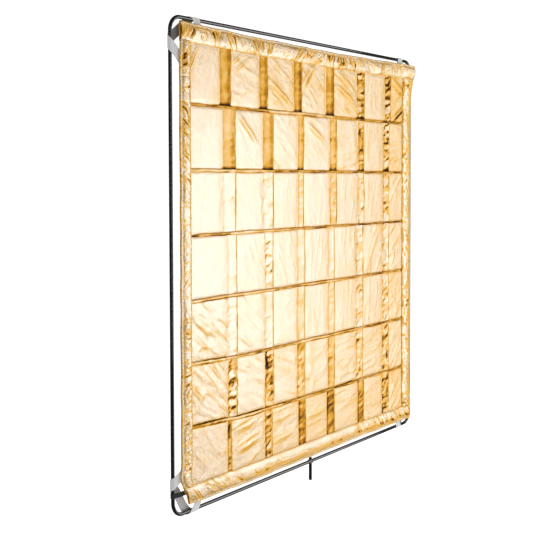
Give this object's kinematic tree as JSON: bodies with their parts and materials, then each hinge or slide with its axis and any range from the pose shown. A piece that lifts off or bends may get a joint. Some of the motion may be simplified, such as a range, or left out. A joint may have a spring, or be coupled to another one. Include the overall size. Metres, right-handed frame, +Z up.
{
  "type": "slip-on reflector panel with frame",
  "caption": "Square reflector panel: woven gold ribbon skin held on a bent round-bar frame by elastic corner straps, with a short mounting pin below.",
  "frame": {"origin": "middle of the mounting pin's flat bottom end", "axes": "+Z up along the pin, -Y towards the reflecting side, +X to the right of someone facing the reflecting side"},
  "size_m": [1.2215, 0.0205, 1.2702],
  "materials": {
    "black_enamel": "gloss black enamel on steel bar",
    "gold_lame": "shiny gold lame ribbon, crinkled",
    "gold_tape": "narrow shiny gold tape",
    "grey_elastic": "matt pale grey woven elastic",
    "black_webbing": "matt black webbing"
  },
  "bodies": {
    "frame": {"bar_bottom_left": "black_enamel", "bar_bottom_right": "black_enamel", "bar_left": "black_enamel", "bar_right": "black_enamel", "bar_top": "black_enamel", "bend_bottom_left": "black_enamel", "bend_bottom_right": "black_enamel", "bend_top_left": "black_enamel", "bend_top_right": "black_enamel", "mounting_pin": "black_enamel", "weld_left": "black_enamel", "weld_right": "black_enamel", "keeper_tab": "black_webbing"},
    "skin": {"upright_ribbon_1": "gold_lame", "upright_ribbon_2": "gold_lame", "upright_ribbon_3": "gold_lame", "upright_ribbon_4": "gold_lame", "upright_ribbon_5": "gold_lame", "upright_ribbon_6": "gold_lame", "upright_ribbon_7": "gold_lame", "level_ribbon_1": "gold_lame", "level_ribbon_2": "gold_lame", "level_ribbon_3": "gold_lame", "level_ribbon_4": "gold_lame", "level_ribbon_5": "gold_lame", "level_ribbon_6": "gold_lame", "level_ribbon_7": "gold_lame", "row_tape_1": "gold_tape", "row_tape_2": "gold_tape", "row_tape_3": "gold_tape", "row_tape_4": "gold_tape", "row_tape_5": "gold_tape", "row_tape_6": "gold_tape", "hem_top": "gold_lame", "hem_bottom": "gold_lame", "hem_left": "gold_lame", "hem_right": "gold_lame"},
    "strap_top_left": {"corner_strap_top_left": "grey_elastic"},
    "strap_top_right": {"corner_strap_top_right": "grey_elastic"},
    "strap_bottom_left": {"corner_strap_bottom_left": "grey_elastic"},
    "strap_bottom_right": {"corner_strap_bottom_right": "grey_elastic"}
  },
  "joints": [
    {"name": "skin_lift_off", "type": "slide", "parent": "frame", "child": "skin", "axis": [0, -1, 0], "range_m": [0, 0.15]},
    {"name": "strap_stretch_top_left", "type": "slide", "parent": "skin", "child": "strap_top_left", "axis": [-0.7071, 0, 0.7071], "range_m": [0, 0.055], "stiffness_N_per_m": 200, "springref_m": -0.01, "deforming": ["corner_strap_top_left"]},
    {"name": "strap_stretch_top_right", "type": "slide", "parent": "skin", "child": "strap_top_right", "axis": [0.7071, 0, 0.7071], "range_m": [0, 0.055], "stiffness_N_per_m": 200, "springref_m": -0.01, "deforming": ["corner_strap_top_right"]},
    {"name": "strap_stretch_bottom_left", "type": "slide", "parent": "skin", "child": "strap_bottom_left", "axis": [-0.7071, 0, -0.7071], "range_m": [0, 0.055], "stiffness_N_per_m": 200, "springref_m": -0.01, "deforming": ["corner_strap_bottom_left"]},
    {"name": "strap_stretch_bottom_right", "type": "slide", "parent": "skin", "child": "strap_bottom_right", "axis": [0.7071, 0, -0.7071], "range_m": [0, 0.055], "stiffness_N_per_m": 200, "springref_m": -0.01, "deforming": ["corner_strap_bottom_right"]}
  ]
}
